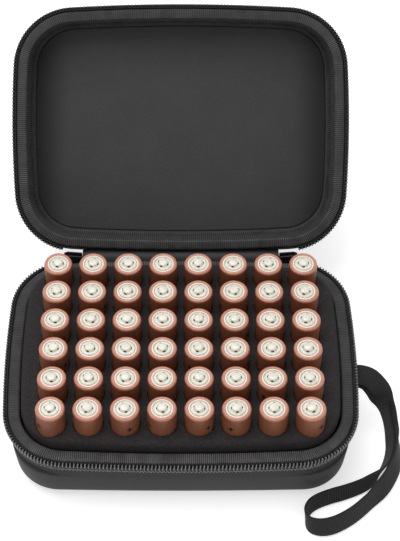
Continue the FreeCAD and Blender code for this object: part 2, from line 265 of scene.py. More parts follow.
def along_and_across(tree, along, across):
    """Place on a band, from its own UV map, counted in so many units along it and across it."""
    uv = add_node(tree, "UVMap", {}).outputs["UV"]
    return add_node(tree, "Mapping", {"Vector": uv, "Scale": (along, across, 1)}).outputs["Vector"]


def times(colour, share):
    """A colour made so many times as bright."""
    return [channel * share for channel in colour]


def two_tones(tree, level, dark, light, start=0.0, end=1.0):
    """Runs from the dark colour to the light one as the level goes from start to end."""
    tone = add_node(tree, "ValToRGB", {"Fac": level})
    first, last = tone.color_ramp.elements
    first.position = start
    last.position = end
    first.color = (*dark, 1)
    last.color = (*light, 1)
    return tone.outputs["Color"]


def add_relief(tree, shader, height, strength, distance):
    """Lets light catch threads, ribs or pores, whose pattern is their height."""
    bump = add_node(tree, "Bump", {"Height": height, "Strength": strength, "Distance": distance})
    tree.links.new(bump.outputs["Normal"], shader.inputs["Normal"])


def webbing_cloth(name, colour, length, width):
    """Ribbed webbing: cross ribs along the length, with a lengthwise split between warp yarns."""
    cloth, tree, shader = new_finish(name, 0.75, 0.25, sheen=0.05)
    spot = along_and_across(tree, length * 1000, width * 1000)
    ribs = add_node(
        tree,
        "TexWave",
        {"Vector": spot, "Scale": RIB_SCALE, "Distortion": 0.6, "Detail": 1},
        bands_direction="X",
    )
    yarns = add_node(tree, "TexWave", {"Vector": spot, "Scale": YARN_SCALE}, bands_direction="Y")
    weave = reckon(tree, "MULTIPLY", ribs.outputs["Fac"], yarns.outputs["Fac"])
    tone = two_tones(tree, weave, times(colour, 0.45), times(colour, 1.5))
    tree.links.new(tone, shader.inputs["Base Color"])
    add_relief(tree, shader, weave, 0.7, 0.0003)
    return cloth


strap_line, strap_length = nurbs_line("strap_route", STRAP_ROUTE)
strap = woven_band("strap_loop", strap_line, STRAP_TURNS, STRAP_WIDTH, STRAP_THICK)
strap.data.materials.append(webbing_cloth("strap_webbing", STRAP_BLACK, strap_length, STRAP_WIDTH))
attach(strap, "base")
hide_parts("wrist_strap")

# ------------------------ Base tray
# Semi-rigid tray, pressed from EVA foam with dark woven cloth bonded to both faces. A narrow band stands
# behind the zip, and below it the foot is squarer, drafts inward and rolls into a flat floor.
RIM_HALF_WIDTH = 0.0858
RIM_HALF_DEPTH = 0.0628
RIM_CORNER = 0.029
RIM_END_BOW = 0.576
RIM_LONG_BOW = 1.016
RIM_HEIGHT = 0.036
RIM_DROP = 0.00085
WALL = 0.0038
DRAFT = math.tan(math.radians(2))
FOOT_TOP = -0.0141
FOOT_ROLL = 0.010
FOOT_CORNER = 0.024
FOOT_LONG_BOW = 2.5
FOOT_DRAFT = math.tan(math.radians(5))
FOOT_IN = 0.0005
FOOT_OVERLAP = 0.001
SHELL_BLACK = (0.039, 0.039, 0.042)
# The lid turns about a line this far behind the middle, level with the rim, and stands open so far
HINGE_BACK = 0.0665
LID_SWING = math.radians(134.4)


def rim_arcs(rear_gap=0.0, corner=RIM_CORNER, long_bow=RIM_LONG_BOW):
    """Arcs of the rim, anticlockwise from the back: centre, radius, start and sweep."""
    long_y = RIM_HALF_DEPTH - long_bow
    end_x = RIM_HALF_WIDTH - RIM_END_BOW
    to_long = long_bow - corner
    to_end = RIM_END_BOW - corner
    span = math.hypot(end_x, long_y)
    along = (to_long**2 - to_end**2 + span**2) / (2 * span)
    across = math.sqrt(to_long**2 - along**2)
    x = (along * end_x - across * long_y) / span
    y = long_y - (along * long_y + across * end_x) / span
    long_half = math.atan2(x, y - long_y)
    end_half = math.atan2(y, x - end_x)
    turn = math.pi / 2 - long_half - end_half
    half = math.pi / 2
    if rear_gap < long_bow * math.sin(long_half):
        skipped = math.asin(rear_gap / long_bow)
        first = [
            (0, long_y, long_bow, half + skipped, long_half - skipped),
            (-x, y, corner, half + long_half, turn),
        ]
        last = [
            (x, y, corner, end_half, turn),
            (0, long_y, long_bow, half - long_half, long_half - skipped),
        ]
    else:
        turned = math.acos((rear_gap - x) / corner)
        first = [(-x, y, corner, math.pi - turned, turned - end_half)]
        last = [(x, y, corner, end_half, turned - end_half)]
    middle = [
        (-end_x, 0, RIM_END_BOW, math.pi - end_half, 2 * end_half),
        (-x, -y, corner, math.pi + end_half, turn),
        (0, -long_y, long_bow, 3 * half - long_half, 2 * long_half),
        (x, -y, corner, 3 * half + long_half, turn),
        (end_x, 0, RIM_END_BOW, -end_half, 2 * end_half),
    ]
    return first + middle + last


def rim_line(name, outward=0.0, rear_gap=0.0, smooth=6, arcs=None):
    """Curve along the rim, moved outward, in steps of like length. It is closed if there is no rear gap."""
    about = 0.013
    short = []
    for centre_x, centre_y, radius, start, sweep in arcs or rim_arcs(rear_gap):
        count = max(1, round(radius * sweep / about))
        for step in range(count):
            short.append((centre_x, centre_y, radius, start + sweep * step / count, sweep / count))
    knots = []
    for centre_x, centre_y, radius, start, sweep in short:
        arm = 4 / 3 * math.tan(sweep / 4) * (radius + outward)
        for angle in (start, start + sweep):
            spoke = Vector((math.cos(angle), math.sin(angle), 0))
            ahead = Vector((-math.sin(angle), math.cos(angle), 0))
            spot = Vector((centre_x, centre_y, 0)) + spoke * (radius + outward)
            knots.append([spot, spot - ahead * arm, spot + ahead * arm])
    points = [knots[0]]
    for before, after in zip(knots[1::2], knots[2::2]):
        points.append([before[0], before[1], after[2]])
    if rear_gap:
        points.append(knots[-1])
    else:
        points[0][1] = knots[-1][1]
    bpy.ops.object.select_all(action="DESELECT")
    bpy.ops.curve.primitive_bezier_circle_add()
    line = bpy.context.object
    line.name = name
    line.data.dimensions = "2D"
    line.data.fill_mode = "NONE"
    line.data.splines.clear()
    spline = line.data.splines.new("BEZIER")
    spline.bezier_points.add(len(points) - 1)
    for knot, (spot, before, after) in zip(spline.bezier_points, points):
        knot.handle_left_type = "FREE"
        knot.handle_right_type = "FREE"
        knot.co = spot
        knot.handle_left = before
        knot.handle_right = after
    spline.use_cyclic_u = not rear_gap
    spline.resolution_u = smooth
    return line


def pick(*pieces):
    """Selects these pieces and no others, with the last of them active."""
    bpy.ops.object.select_all(action="DESELECT")
    for piece in pieces:
        piece.select_set(True)
        bpy.context.view_layer.objects.active = piece


def edit_all():
    """Enters edit mode on the active piece with all of it selected."""
    bpy.ops.object.mode_set(mode="EDIT")
    bpy.ops.mesh.select_all(action="SELECT")


def swept_round_rim(name, profile, rear_gap=0.0, arcs=None):
    """Solid of a closed profile, in outward and up sizes from the rim, swept along the rim."""
    line = rim_line(name, rear_gap=rear_gap, arcs=arcs)
    bpy.ops.curve.primitive_bezier_circle_add()
    section = bpy.context.object
    section.data.dimensions = "2D"
    section.data.splines.clear()
    spline = section.data.splines.new("POLY")
    spline.points.add(len(profile) - 1)
    side = 1 if rear_gap else -1
    for point, (outward, height) in zip(spline.points, profile):
        point.co = (side * outward, height, 0, 1)
    spline.use_cyclic_u = True
    line.data.bevel_mode = "OBJECT"
    line.data.bevel_object = section
    line.data.use_fill_caps = bool(rear_gap)
    pick(line)
    bpy.ops.object.convert(target="MESH")
    bpy.data.objects.remove(section)
    edit_all()
    bpy.ops.mesh.remove_doubles(threshold=0.000001)
    bpy.ops.mesh.normals_make_consistent(inside=False)
    bpy.ops.object.mode_set(mode="OBJECT")
    bpy.ops.object.shade_smooth_by_angle(angle=math.radians(35))
    return line


def arc_points(centre, radius, start, end, steps):
    """Points of an arc in a profile, angles in degrees from outward towards up."""
    spots = []
    for step in range(steps + 1):
        angle = math.radians(start + (end - start) * step / steps)
        spots.append((centre[0] + radius * math.cos(angle), centre[1] + radius * math.sin(angle)))
    return spots


def place(piece, lid=False):
    """Puts a piece made about the closing plane on the base, or turns it over onto the open lid."""
    where = Matrix.Translation((0, 0, RIM_HEIGHT))
    if lid:
        hinge = Matrix.Translation((0, HINGE_BACK, RIM_HEIGHT))
        swing = Matrix.Rotation(LID_SWING, 4, Vector((-1, 0, 0)))
        where = hinge @ swing @ hinge.inverted() @ where @ Matrix.Scale(-1, 4, Vector((0, 0, 1)))
    piece.data.transform(where)
    if lid:
        piece.data.flip_normals()
    piece.data.update()
    return piece


def pick_faces(piece, wanted):
    """Enters edit mode with only the wanted faces selected."""
    bpy.ops.object.mode_set(mode="EDIT")
    bpy.ops.mesh.select_mode(type="FACE")
    bpy.ops.mesh.select_all(action="DESELECT")
    bpy.ops.object.mode_set(mode="OBJECT")
    for face in piece.data.polygons:
        face.select = wanted(face, [piece.data.vertices[index].co for index in face.vertices])
    bpy.ops.object.mode_set(mode="EDIT")


def roll_centre(height, roll, top=(0.0, -RIM_DROP), draft=DRAFT):
    """Centre of the rolled edge between a tray's wall and its floor."""
    return top[0] - (top[1] + height - roll) * draft - roll * math.hypot(1, draft), roll - height


def tray(name, height, roll, top=(0.0, -RIM_DROP), draft=DRAFT, arcs=None):
    """Tray below the closing plane: drafted wall, rolled edge and a flat floor."""
    lean = math.degrees(math.atan(draft))
    centre = roll_centre(height, roll, top, draft)
    profile = [
        (top[0] - WALL, top[1]),
        (top[0] - 0.0009, top[1]),
        (top[0] - 0.0003, top[1] - 0.0003),
        (top[0], top[1] - 0.0010),
    ]
    profile += arc_points(centre, roll, -lean, -90, 12)
    profile += arc_points(centre, roll - WALL, -90, -lean, 8)
    piece = swept_round_rim(name, profile, arcs=arcs)

    def joins_floors(face, corners):
        """True for the swept faces in the middle, between the outer floor and the inner one."""
        heights = [corner.z for corner in corners]
        return min(heights) < 0.0001 - height and max(heights) > WALL * 0.9 - height

    pick_faces(piece, joins_floors)
    bpy.ops.mesh.delete(type="FACE")
    bpy.ops.mesh.select_mode(type="EDGE")
    bpy.ops.mesh.select_non_manifold()
    bpy.ops.mesh.edge_face_add()
    bpy.ops.object.mode_set(mode="OBJECT")
    return piece


def spot_on(tree):
    """Place of a point on its piece, in metres."""
    return add_node(tree, "TexCoord", {}).outputs["Object"]


def noise(tree, scale, detail=2.0):
    """Cloudy pattern on a piece, finer for a larger scale."""
    sockets = {"Vector": spot_on(tree), "Scale": scale, "Detail": detail}
    return add_node(tree, "TexNoise", sockets).outputs["Fac"]


def mixed(tree, share, first, second):
    """Blend of two patterns, with so much of the second."""
    mix = add_node(tree, "Mix", {"Factor": share, "A": first, "B": second}, data_type="FLOAT")
    return mix.outputs["Result"]


def shaded(tree, colour, shade):
    """A colour times a shade, where 1 leaves it as it is."""
    sockets = {"Factor": 1, 6: colour, 7: shade}
    return add_node(tree, "Mix", sockets, data_type="RGBA", blend_type="MULTIPLY").outputs[2]


def painted_shade_aside(tree, start, end, last, kind="LINEAR"):
    """Painted shade that is 1 in the middle and goes to its last value from start to end, to both sides."""
    axes = add_node(tree, "SeparateXYZ", {"Vector": spot_on(tree)})
    sockets = {
        "Value": reckon(tree, "ABSOLUTE", axes.outputs["X"]),
        "From Min": start,
        "From Max": end,
        "To Min": 1.0,
        "To Max": last,
    }
    return add_node(tree, "MapRange", sockets, interpolation_type=kind).outputs[0]


def moulded_cloth(name, colour, painted_sides=None):
    """Fine plain-woven cloth bonded to foam. With painted sides, painted shade darkens it towards both sides.
    """
    cloth, tree, shader = new_finish(name, 0.62, 0.25, sheen=0.04)
    threads = noise(tree, 1700)
    weave = mixed(tree, 0.35, threads, noise(tree, 45, 3))
    tone = two_tones(tree, weave, times(colour, 0.75), times(colour, 1.25), 0.3, 0.7)
    # Painted shade that darkens the cloth towards both sides
    if painted_sides:
        tone = shaded(tree, tone, painted_shade_aside(tree, *painted_sides))
    tree.links.new(tone, shader.inputs["Base Color"])
    add_relief(tree, shader, threads, 0.35, 0.0002)
    return cloth


shell_cloth = moulded_cloth("shell_cloth", SHELL_BLACK)
foot_arcs = rim_arcs(corner=FOOT_CORNER, long_bow=FOOT_LONG_BOW)
base_tray = tray("base_tray", RIM_HEIGHT, FOOT_ROLL, (-FOOT_IN, FOOT_TOP), FOOT_DRAFT, foot_arcs)
band_foot = FOOT_TOP - FOOT_OVERLAP
band_in = (band_foot + RIM_DROP) * DRAFT
band_profile = [
    (-WALL, -RIM_DROP),
    (0, -RIM_DROP),
    (band_in, band_foot),
    (band_in - WALL, band_foot),
]
base_band = swept_round_rim("base_band", band_profile)
pick(base_band, base_tray)
bpy.ops.object.join()
place(base_tray)
base_tray.data.materials.append(shell_cloth)
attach(base_tray, "base")
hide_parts("base_shell")

# ------------------------ Base binding
# Ribbed grosgrain tape, folded over the raw rim of the tray and sewn through it. It stands a little full at
# the fold, and a painted highlight makes it paler along the fold.
BINDING = 0.0006
BINDING_INSIDE = 0.006
BINDING_OUTSIDE = 0.005
BINDING_FULL = 0.0008
BINDING_ROUND = 0.0011
BINDING_BULGE = 0.00008
BINDING_GREY = (0.048, 0.046, 0.047)
RIB_PITCH = 0.00105
# A wave pattern of this scale has one rib in each unit of its coordinates
ONE_WAVE = math.tau / 20
# Between pieces that lie on one another
LAYER = 0.0001


def folded_binding(name, full=BINDING_FULL, into_corner=None):
    """Binding over the rim, fuller than the cloth it covers. It can reach on into the tray's rolled edge."""
    top = -0.00015
    inner = -WALL - LAYER
    outer = LAYER
    lean_in = (top - BINDING_INSIDE + RIM_DROP) * DRAFT
    lean_out = (top - BINDING_OUTSIDE + RIM_DROP) * DRAFT
    below = top - BINDING_ROUND
    profile = [
        (outer + lean_out + BINDING, top - BINDING_OUTSIDE),
        (outer + BINDING + BINDING_BULGE, top - 0.0028),
        (outer + BINDING, below),
    ]
    profile += arc_points((outer + BINDING - BINDING_ROUND, below), BINDING_ROUND, 15, 90, 5)
    profile += arc_points((inner - full - BINDING + BINDING_ROUND, below), BINDING_ROUND, 90, 165, 5)
    profile += [
        (inner - full - BINDING, below),
        (inner - full / 2 - BINDING - BINDING_BULGE, top - 0.0032),
    ]
    if into_corner:
        centre, radius = into_corner
        profile += arc_points(centre, radius - LAYER - BINDING, -2, -62, 6)
        profile += arc_points(centre, radius - LAYER, -62, -2, 6)
    else:
        foot = top - BINDING_INSIDE
        profile += [(inner + lean_in - BINDING, foot), (inner + lean_in, foot)]
    profile += [
        (inner, top - BINDING),
        (outer, top - BINDING),
        (outer + lean_out, top - BINDING_OUTSIDE),
    ]
    return swept_round_rim(name, profile)


def rim_length(outward=0.0, rear_gap=0.0):
    """Length of the rim, moved outward, without its gap at the back."""
    return sum((radius + outward) * sweep for _, _, radius, _, sweep in rim_arcs(rear_gap))


def grosgrain(name, colour, highlight_at, painted_side_tone):
    """Corded silk-like tape: one rib each pitch, across the tape, with a painted highlight at one share round
    it and painted shade towards both ends of the tray.
    """
    cloth, tree, shader = new_finish(name, 0.55, 0.3, sheen=0.05)
    ribs = add_node(
        tree,
        "TexWave",
        {
            "Vector": along_and_across(tree, round(rim_length() / RIB_PITCH), 1),
            "Scale": ONE_WAVE,
            "Distortion": 0.25,
            "Detail Scale": 0.3,
        },
        bands_direction="X",
    ).outputs["Fac"]
    patchy_ribs = reckon(tree, "MULTIPLY", ribs, noise(tree, 160))
    tone = two_tones(tree, patchy_ribs, times(colour, 0.25), times(colour, 2.3), end=0.6)
    uv = add_node(tree, "UVMap", {}).outputs["UV"]
    round_tape = add_node(tree, "SeparateXYZ", {"Vector": uv}).outputs["Y"]
    from_fold = reckon(tree, "ABSOLUTE", reckon(tree, "SUBTRACT", round_tape, highlight_at))
    # Painted highlight: the ribs are paler in a line round the tape at that share
    painted_highlight = add_node(tree, "MapRange", {"Value": from_fold, "From Max": 0.07, "To Min": 1.9, "To Max": 1.0})
    # Painted shade: the tape darkens towards both ends of the tray
    side = painted_shade_aside(tree, RIM_HALF_WIDTH - 0.018, RIM_HALF_WIDTH - 0.004, painted_side_tone)
    shade = reckon(tree, "MULTIPLY", painted_highlight.outputs[0], side)
    tree.links.new(shaded(tree, tone, shade), shader.inputs["Base Color"])
    add_relief(tree, shader, ribs, 0.8, 0.00025)
    return cloth


# On the base, painted shade also darkens the binding towards the tray's two ends
binding_cloth = grosgrain("grosgrain", BINDING_GREY, highlight_at=0.2, painted_side_tone=0.5)
base_binding = place(folded_binding("base_grosgrain"))
base_binding.data.materials.append(binding_cloth)
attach(base_binding, "base")
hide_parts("base_binding")

# ------------------------ Base zip tape
# Black polyester zip tape in a fine twill. Its lower edge is sewn to the tray's band, its upper edge stands
# away from the rim, and it stops at both sides of the hinge.
TAPE = 0.0006
TAPE_WIDTH = 0.0153
TAPE_FLARE = 0.0012
TAPE_BLACK = (0.020, 0.020, 0.022)
ZIP_GAP = 0.0621


def tape_back(height):
    """Outward place of the tape's inner face at a height from the closing plane."""
    foot = LAYER + (RIM_DROP - TAPE_WIDTH) * DRAFT
    return foot + (TAPE_FLARE - foot) * (height + TAPE_WIDTH) / TAPE_WIDTH


def zip_cloth(name, colour, length, width):
    """Twill-woven zip tape: fine slanted ribs that follow the tape."""
    cloth, tree, shader = new_finish(name, 0.7, 0.15, sheen=0.04)
    spot = along_and_across(tree, length * 1000, width * 1000)
    twill = add_node(
        tree,
        "TexWave",
        {"Vector": spot, "Scale": 0.45, "Distortion": 1.2, "Detail": 2},
        bands_direction="DIAGONAL",
    ).outputs["Fac"]
    tone = two_tones(tree, twill, times(colour, 0.6), times(colour, 1.35))
    tree.links.new(tone, shader.inputs["Base Color"])
    add_relief(tree, shader, twill, 0.5, 0.0002)
    return cloth


def zip_tape(name, rear_gap=ZIP_GAP):
    """One half of the zip's tape, with its edges pressed thin."""
    top = -0.0001
    foot = -TAPE_WIDTH
    profile = [
        (tape_back(top), top),
        (tape_back(foot), foot),
        (tape_back(foot) + TAPE * 0.6, foot),
        (tape_back(foot) + TAPE, foot + 0.0004),
        (tape_back(top) + TAPE, top - 0.0002),
        (tape_back(top) + TAPE * 0.6, top),
    ]
    return swept_round_rim(name, profile, rear_gap=rear_gap)


tape_cloth = zip_cloth("zip_tape", TAPE_BLACK, rim_length(0.001, ZIP_GAP), 2 * TAPE_WIDTH)
base_tape = place(zip_tape("base_tape"))
base_tape.data.materials.append(tape_cloth)
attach(base_tape, "base")
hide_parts("base_zip_tape")

# ------------------------ Base coil
# One half of the zip: a black monofilament coil, whose loops lean a little, wound round a filler cord and
# sewn to the tape.
COIL_PITCH = 0.0018
COIL_WIRE = COIL_PITCH * 0.45
COIL_LENGTH = 0.0040
COIL_OVERLAP = 0.0004
COIL_DEEP = 0.0015
COIL_SLANT = 0.10
FILLER_BULGE = 0.0011


def repeat(piece, count, step):
    """Makes a row of the piece, each copy a step from the last."""
    row = piece.modifiers.new("row", "ARRAY")
    row.count = count
    row.use_relative_offset = False
    row.use_constant_offset = True
    row.constant_offset_displace = step
    bpy.ops.object.modifier_apply(modifier="row")


def along_rim(name, copy, outward, first_share):
    """Copies of one piece, a pitch apart, laid along the zip by an array bent along the rim."""
    line = rim_line(name + "_line", outward=outward, rear_gap=ZIP_GAP, smooth=12)
    length = rim_length(outward, ZIP_GAP)
    copy.data.transform(Matrix.Translation((COIL_PITCH * first_share, 0, 0)))
    pick(copy)
    repeat(copy, int(length / COIL_PITCH - first_share) + 1, (COIL_PITCH, 0, 0))
    bend = copy.modifiers.new("bend", "CURVE")
    bend.object = line
    bpy.ops.object.modifier_apply(modifier="bend")
    bpy.data.objects.remove(line)
    copy.name = name
    return copy


def coil(name, first_share):
    """Coil loops as slanted rounded bars that meet the other half's loops between them."""
    bpy.ops.object.select_all(action="DESELECT")
    bpy.ops.mesh.primitive_cylinder_add(vertices=8, radius=0.5, depth=1)
    loop = bpy.context.object
    soften(loop, 0.2, 2, 60)
    bpy.ops.object.shade_smooth()
    middle = COIL_OVERLAP - COIL_LENGTH / 2
    lean = (tape_back(0) - tape_back(-TAPE_WIDTH)) / TAPE_WIDTH
    shape = Matrix(
        (
            (COIL_WIRE, 0, COIL_SLANT * COIL_LENGTH, 0),
            (0, COIL_DEEP, -lean * COIL_LENGTH, 0),
            (0, 0, COIL_LENGTH, middle),
            (0, 0, 0, 1),
        )
    )
    loop.data.transform(shape)
    outward = tape_back(middle) + TAPE + LAYER + COIL_DEEP / 2
    return along_rim(name, loop, outward, first_share)


def filler_cord(name):
    """Soft cord inside the coil, seen as the dark ground between its loops."""
    top = -0.0005
    foot = COIL_OVERLAP - COIL_LENGTH + 0.0002
    middle = (top + foot) / 2
    skin = TAPE + 0.00005
    profile = [
        (tape_back(top) + skin, top),
        (tape_back(foot) + skin, foot),
        (tape_back(foot) + skin + 0.0006, foot + 0.0002),
        (tape_back(middle) + skin + FILLER_BULGE, middle),
        (tape_back(top) + skin + FILLER_BULGE, top - 0.0002),
    ]
    return swept_round_rim(name, profile, rear_gap=ZIP_GAP)


def speckled(name, low, high, roughness, scale, shine=0.5, metallic=0.0):
    """Plain finish whose tone wanders a little between two colours."""
    finish, tree, shader = new_finish(name, roughness, shine, metallic=metallic)
    tone = two_tones(tree, noise(tree, scale, 3), low, high, 0.3, 0.7)
    tree.links.new(tone, shader.inputs["Base Color"])
    return finish


# The coil's grey is lighter than its black plastic: a painted highlight for the gloss on its loops
coil_plastic = speckled("coil_plastic", (0.075, 0.075, 0.080), (0.17, 0.17, 0.175), 0.24, 500)
cord_cotton = speckled("filler_cord", (0.005, 0.005, 0.005), (0.010, 0.010, 0.010), 0.9, 1500, 0.05)

base_coil = place(coil("base_coil", 0.25))
base_coil.data.materials.append(coil_plastic)
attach(base_coil, "base")
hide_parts("base_zip_teeth")

base_filler = place(filler_cord("base_filler"))
base_filler.data.materials.append(cord_cotton)
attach(base_filler, "base")

# ------------------------ Stitches under the coil
# Grey polyester thread in a zigzag, two stitches to each loop of the coil. It holds the coil and its filler
# cord to the tape.
STITCH_HEIGHT = -0.0072
STITCH_LEAN = math.radians(33)
STITCH_SIZE = (0.00055, 0.0006, 0.0025, 1)


def stitches(name):
    """Zigzag of short rounded stitches, two to each pitch of the coil."""
    halves = []
    for lean in (-1, 1):
        bpy.ops.object.select_all(action="DESELECT")
        bpy.ops.mesh.primitive_uv_sphere_add(segments=6, ring_count=4, radius=0.5)
        stitch = bpy.context.object
        shape = Matrix.Translation((COIL_PITCH * (0.5 + lean * 0.25), 0, STITCH_HEIGHT))
        shape = shape @ Matrix.Rotation(lean * STITCH_LEAN, 4, "Y")
        stitch.data.transform(shape @ Matrix.Diagonal(STITCH_SIZE))
        halves.append(stitch)
    pick(*halves)
    bpy.ops.object.join()
    zigzag = bpy.context.object
    bpy.ops.object.shade_smooth()
    return along_rim(name, zigzag, tape_back(STITCH_HEIGHT) + TAPE, 0.1)


thread = speckled("grey_thread", (0.13, 0.13, 0.135), (0.30, 0.30, 0.31), 0.6, 700)
base_stitches = place(stitches("base_stitches"))
base_stitches.data.materials.append(thread)
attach(base_stitches, "base")

# ------------------------ Foam floor pad
# Thin pad of black foam, cut to the tray's outline and laid on its floor. The cells stand on it, and they
# hide it together with the insert.
PAD_IN = 0.0130
PAD_BOTTOM = WALL + LAYER
PAD_TOP = 0.0068
FOAM_BLACK = (0.029, 0.026, 0.027)
FOAM_PORE = 0.0007


def foam_finish(name, colour, pore):
    """Black die-cut foam: fine open pores with lighter cut edges between them."""
    foam, tree, shader = new_finish(name, 0.95, 0.08)
    pores = add_node(tree, "TexVoronoi", {"Vector": spot_on(tree), "Scale": 1 / pore}).outputs["Distance"]
    grain = mixed(tree, 0.5, pores, noise(tree, 0.45 / pore, 3))
    tone = two_tones(tree, grain, times(colour, 0.7), times(colour, 1.4), 0.25, 0.75)
    tree.links.new(tone, shader.inputs["Base Color"])
    add_relief(tree, shader, grain, 0.6, 0.0004)
    return foam


def rim_plate(name, outward, bottom, top):
    """Plate with the rim's outline moved outward, grown upward from its filled outline."""
    line = rim_line(name, outward=outward)
    pick(line)
    bpy.ops.object.convert(target="MESH")
    edit_all()
    bpy.ops.mesh.remove_doubles(threshold=0.000001)
    bpy.ops.transform.translate(value=(0, 0, bottom))
    bpy.ops.mesh.edge_face_add()
    bpy.ops.mesh.extrude_region_move(TRANSFORM_OT_translate={"value": (0, 0, top - bottom)})
    bpy.ops.mesh.select_all(action="SELECT")
    bpy.ops.mesh.normals_make_consistent(inside=False)
    bpy.ops.object.mode_set(mode="OBJECT")
    return line


black_foam = foam_finish("black_foam", FOAM_BLACK, FOAM_PORE)
floor_pad = rim_plate("floor_pad", -PAD_IN, PAD_BOTTOM, PAD_TOP)
floor_pad.data.materials.append(black_foam)
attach(floor_pad, "base")
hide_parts("foam_floor")

# ------------------------ Foam insert
# Block of firm black foam, die-cut with a round pocket for every cell and pushed into the tray. Its foot is
# narrower than its top, and its upper edge is rounded all the way round.
ROWS = 6
COLUMNS = 8
MIDDLE_ROW = (ROWS - 1) / 2
MIDDLE_COLUMN = (COLUMNS - 1) / 2
CELL_RADIUS = 0.00725
CELL_PITCH = 0.018
CELL_SPOTS = [
    [((column - MIDDLE_COLUMN) * CELL_PITCH, (MIDDLE_ROW - row) * CELL_PITCH) for column in range(COLUMNS)]
    for row in range(ROWS)
]
POCKET_SLACK = 0.0003
FOAM_TOP = 0.0426
FOAM_BOTTOM = PAD_TOP + LAYER
FOAM_GAP = 0.0003
FOAM_EDGE = -WALL - LAYER - BINDING - BINDING_FULL - FOAM_GAP
FOAM_FOOT_IN = 0.0023
FOAM_FLARE = 0.0021
FOAM_ROUND = 0.0032


def insert_block():
    """Block with softened upper edge, cut through by 48 round pockets."""
    block = rim_plate("insert", FOAM_EDGE - FOAM_FOOT_IN, FOAM_BOTTOM, FOAM_TOP)
    middle = (FOAM_TOP + FOAM_BOTTOM) / 2
    for vertex in block.data.vertices:
        if vertex.co.z > middle:
            out = Vector((vertex.co.x, vertex.co.y, 0))
            vertex.co += out.normalized() * FOAM_FLARE
    soften(block, FOAM_ROUND, 6, 50, profile=0.45)
    bpy.ops.object.select_all(action="DESELECT")
    bpy.ops.mesh.primitive_cylinder_add(
        vertices=40,
        radius=CELL_RADIUS + POCKET_SLACK,
        depth=FOAM_TOP - FOAM_BOTTOM + 0.01,
        location=(*CELL_SPOTS[ROWS - 1][0], middle),
    )
    cutter = bpy.context.object
    bpy.ops.object.transform_apply(location=True)
    repeat(cutter, COLUMNS, (CELL_PITCH, 0, 0))
    repeat(cutter, ROWS, (0, CELL_PITCH, 0))
    pick(block)
    pockets = block.modifiers.new("pockets", "BOOLEAN")
    pockets.operation = "DIFFERENCE"
    pockets.solver = "EXACT"
    pockets.object = cutter
    bpy.ops.object.modifier_apply(modifier="pockets")
    bpy.data.objects.remove(cutter)
    bpy.ops.object.shade_smooth_by_angle(angle=math.radians(40))
    return block


insert = insert_block()
insert.data.materials.append(black_foam)
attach(insert, "base")
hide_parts("foam_insert")

# ------------------------ Cells
# AA cells standing on their flat ends: a copper-coloured foil jacket shrunk round a steel can, a white
# sealing ring inside its rolled edge, and a plated cap with a button and vents.
CELL_BOTTOM = FOAM_BOTTOM
SHOULDER = 0.056
BUTTON_TOP = SHOULDER + 0.0014
GROOVE = SHOULDER - 0.0012
FOIL_SHADED = (0.16, 0.050, 0.026)
FOIL = (0.225, 0.080, 0.040)
FOIL_RIM_HIGHLIGHT = (0.52, 0.23, 0.16)
# Shares of the cell's height where the foil takes each colour: painted shade at the foot, plain foil up the
# side and a painted highlight on the rolled rim
FOIL_STOPS = [(0.0, FOIL_SHADED), (1.0, FOIL_RIM_HIGHLIGHT), (0.75, FOIL), (0.945, FOIL), (0.962, FOIL_RIM_HIGHLIGHT)]


def turned(name, outline):
    """Round piece grown ring by ring from its first (radius, height) to its last."""
    bpy.ops.object.select_all(action="DESELECT")
    bpy.ops.mesh.primitive_circle_add(vertices=32, radius=outline[0][0], location=(0, 0, outline[0][1]))
    piece = bpy.context.object
    piece.name = name
    bpy.ops.object.transform_apply(location=True)
    edit_all()
    for (radius, height), (next_radius, next_height) in zip(outline, outline[1:]):
        bpy.ops.mesh.extrude_edges_move(TRANSFORM_OT_translate={"value": (0, 0, next_height - height)})
        grow = next_radius / radius
        bpy.ops.transform.resize(value=(grow, grow, 1), center_override=(0, 0, next_height))
    bpy.ops.mesh.select_all(action="SELECT")
    bpy.ops.mesh.normals_make_consistent(inside=False)
    bpy.ops.object.mode_set(mode="OBJECT")
    return piece


def rows_of(model, name, material, node, turns=None):
    """One piece for each row: eight copies of the model joined, riding on the row's body."""
    for row, spots in enumerate(CELL_SPOTS):
        copies = []
        for column, (x, y) in enumerate(spots):
            copy = model.copy()
            copy.data = model.data.copy()
            bpy.context.collection.objects.link(copy)
            if turns:
                copy.data.transform(Matrix.Rotation(turns[row][column], 4, "Z"))
            copy.data.transform(Matrix.Translation((x, y, 0)))
            copies.append(copy)
        pick(*copies)
        bpy.ops.object.join()
        bpy.ops.object.shade_smooth_by_angle(angle=math.radians(40))
        piece = bpy.context.object
        body = "row_" + str(row + 1)
        piece.name = name + "_" + body
        piece.data.materials.clear()
        piece.data.materials.append(material)
        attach(piece, body)
        if node:
            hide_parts(node + "_" + body)
    bpy.data.objects.remove(model)


